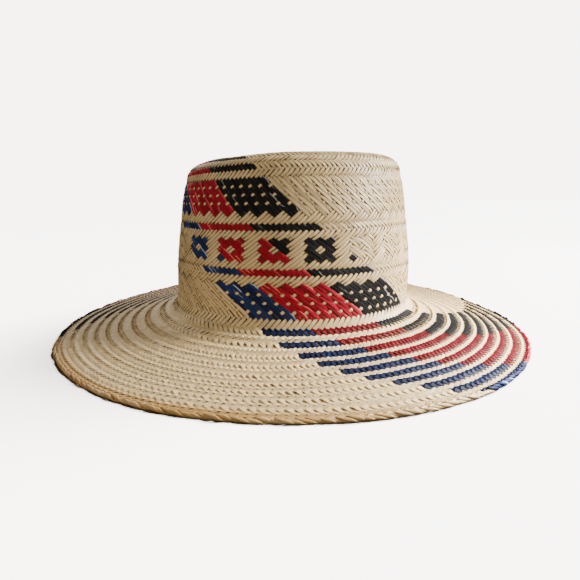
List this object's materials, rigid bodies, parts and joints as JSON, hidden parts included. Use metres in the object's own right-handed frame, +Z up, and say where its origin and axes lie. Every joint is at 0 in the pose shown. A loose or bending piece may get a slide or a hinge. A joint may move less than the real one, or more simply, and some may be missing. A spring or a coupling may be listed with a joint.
{
  "type": "wayuu hat",
  "caption": "Plaited palm hat with a flat crown, a wide ribbed brim, dyed bands and diamonds, and a turned edge; it rests on its rim.",
  "frame": {"origin": "middle of the hat's outline, in the plane its rim rests on", "axes": "+Z up from the rim to the crown's top, -Y toward the front, +X toward the wearer's left"},
  "size_m": [0.3562, 0.3604, 0.1314],
  "materials": {
    "palm_plait": "plaited natural palm straw with dyed blue, red and black strands, satin",
    "turned_edge": "folded palm straw ends, golden, satin"
  },
  "bodies": {
    "root": {"hat_body": "palm_plait", "edge_border": "turned_edge"}
  },
  "joints": []
}
